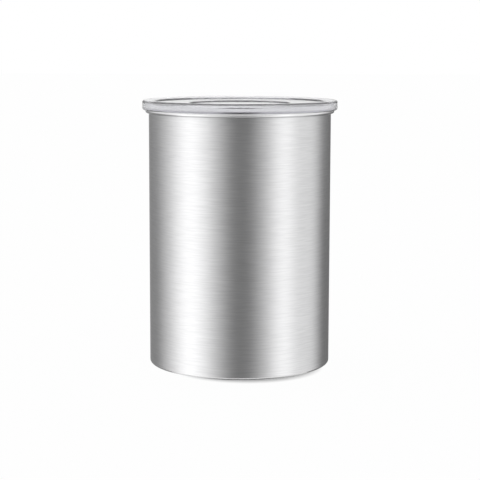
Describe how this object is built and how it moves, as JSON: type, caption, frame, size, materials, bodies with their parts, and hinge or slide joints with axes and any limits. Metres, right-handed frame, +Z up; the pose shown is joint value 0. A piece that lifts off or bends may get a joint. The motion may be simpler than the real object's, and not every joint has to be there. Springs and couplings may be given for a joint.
{
  "type": "vacuum seal canister",
  "caption": "Steel storage canister with a clear press-on lid and a sliding plunger lid whose folding handle works a vent valve to keep air off the contents.",
  "frame": {"origin": "middle of the foot, on the surface that the canister stands on", "axes": "+Z up along the can's axis, X along the handle's hinge pin, +Y from the pin to the folded grip"},
  "size_m": [0.1284, 0.1284, 0.1748],
  "materials": {
    "steel": "stainless, brushed round the can, with a bright rim",
    "base_steel": "stainless, satin",
    "clear_lid": "clear, glossy",
    "gasket": "milky silicone",
    "frosted_dish": "translucent white, fine matte",
    "black_rubber": "soft, satin black",
    "grey_plastic": "moulded, fine matte",
    "dark_plastic": "moulded, satin",
    "spring_steel": "bright drawn wire",
    "pin_steel": "ground, bright"
  },
  "bodies": {
    "canister": {"can_wall": "steel", "can_base": "base_steel"},
    "outer_lid": {"outer_lid": "clear_lid", "lid_gasket": "gasket"},
    "inner_lid": {"plunger_dish": "frosted_dish", "lip_seal": "black_rubber", "seal_retainer": "grey_plastic", "valve_seat": "grey_plastic", "seat_washer": "black_rubber", "valve_nut": "grey_plastic", "handle_pin": "pin_steel", "valve_spring": "spring_steel"},
    "handle": {"handle": "dark_plastic"},
    "valve": {"valve_plug": "grey_plastic", "plug_seal": "black_rubber", "stem_clip": "spring_steel"}
  },
  "joints": [
    {"name": "outer_lid_lift", "type": "slide", "parent": "canister", "child": "outer_lid", "axis": [0, 0, 1], "range_m": [0, 0.08]},
    {"name": "inner_lid_slide", "type": "slide", "parent": "canister", "child": "inner_lid", "axis": [0, 0, 1], "range_m": [-0.099, 0]},
    {"name": "handle_hinge", "type": "hinge", "parent": "inner_lid", "child": "handle", "pos_m": [0, 0, 0.128], "axis": [1, 0, 0], "range_deg": [0, 90]},
    {"name": "valve_lift", "type": "slide", "parent": "inner_lid", "child": "valve", "axis": [0, 0, 1], "range_m": [0, 0.0025], "deforming": ["valve_spring"]}
  ],
  "couplings": [
    {"joint": "valve_lift", "follows": "handle_hinge", "m_per_rad": 0.0015915}
  ]
}
